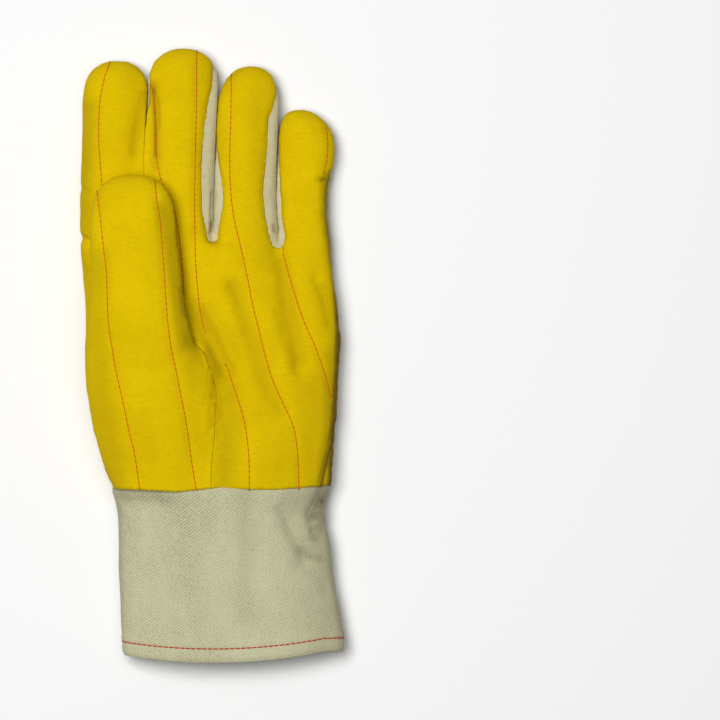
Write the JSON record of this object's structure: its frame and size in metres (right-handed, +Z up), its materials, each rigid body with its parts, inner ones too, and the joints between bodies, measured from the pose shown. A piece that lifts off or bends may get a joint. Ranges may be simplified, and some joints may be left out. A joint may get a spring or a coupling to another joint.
{
  "type": "hot mill glove",
  "caption": "Left-hand work glove of thick napped cotton, quilted yellow palm and thumb, canvas back and a straight twill cuff, lying palm up.",
  "frame": {"origin": "middle of the glove's footprint on the surface that it lies on, at the height of that surface", "axes": "+Z up out of the palm side, +Y from the cuff towards the fingertips, +X from the thumb's side to the little finger's side"},
  "size_m": [0.1294, 0.3, 0.0521],
  "materials": {
    "yellow_cloth": "yellow napped cotton, quilted with orange-red thread",
    "natural_canvas": "natural cotton canvas",
    "natural_twill": "natural cotton twill with diagonal ribs and a red topstitched hem"
  },
  "bodies": {
    "root": {"palm": "yellow_cloth", "back": "natural_canvas", "thumb_front": "yellow_cloth", "thumb_back": "yellow_cloth", "cuff": "natural_twill"}
  },
  "joints": []
}
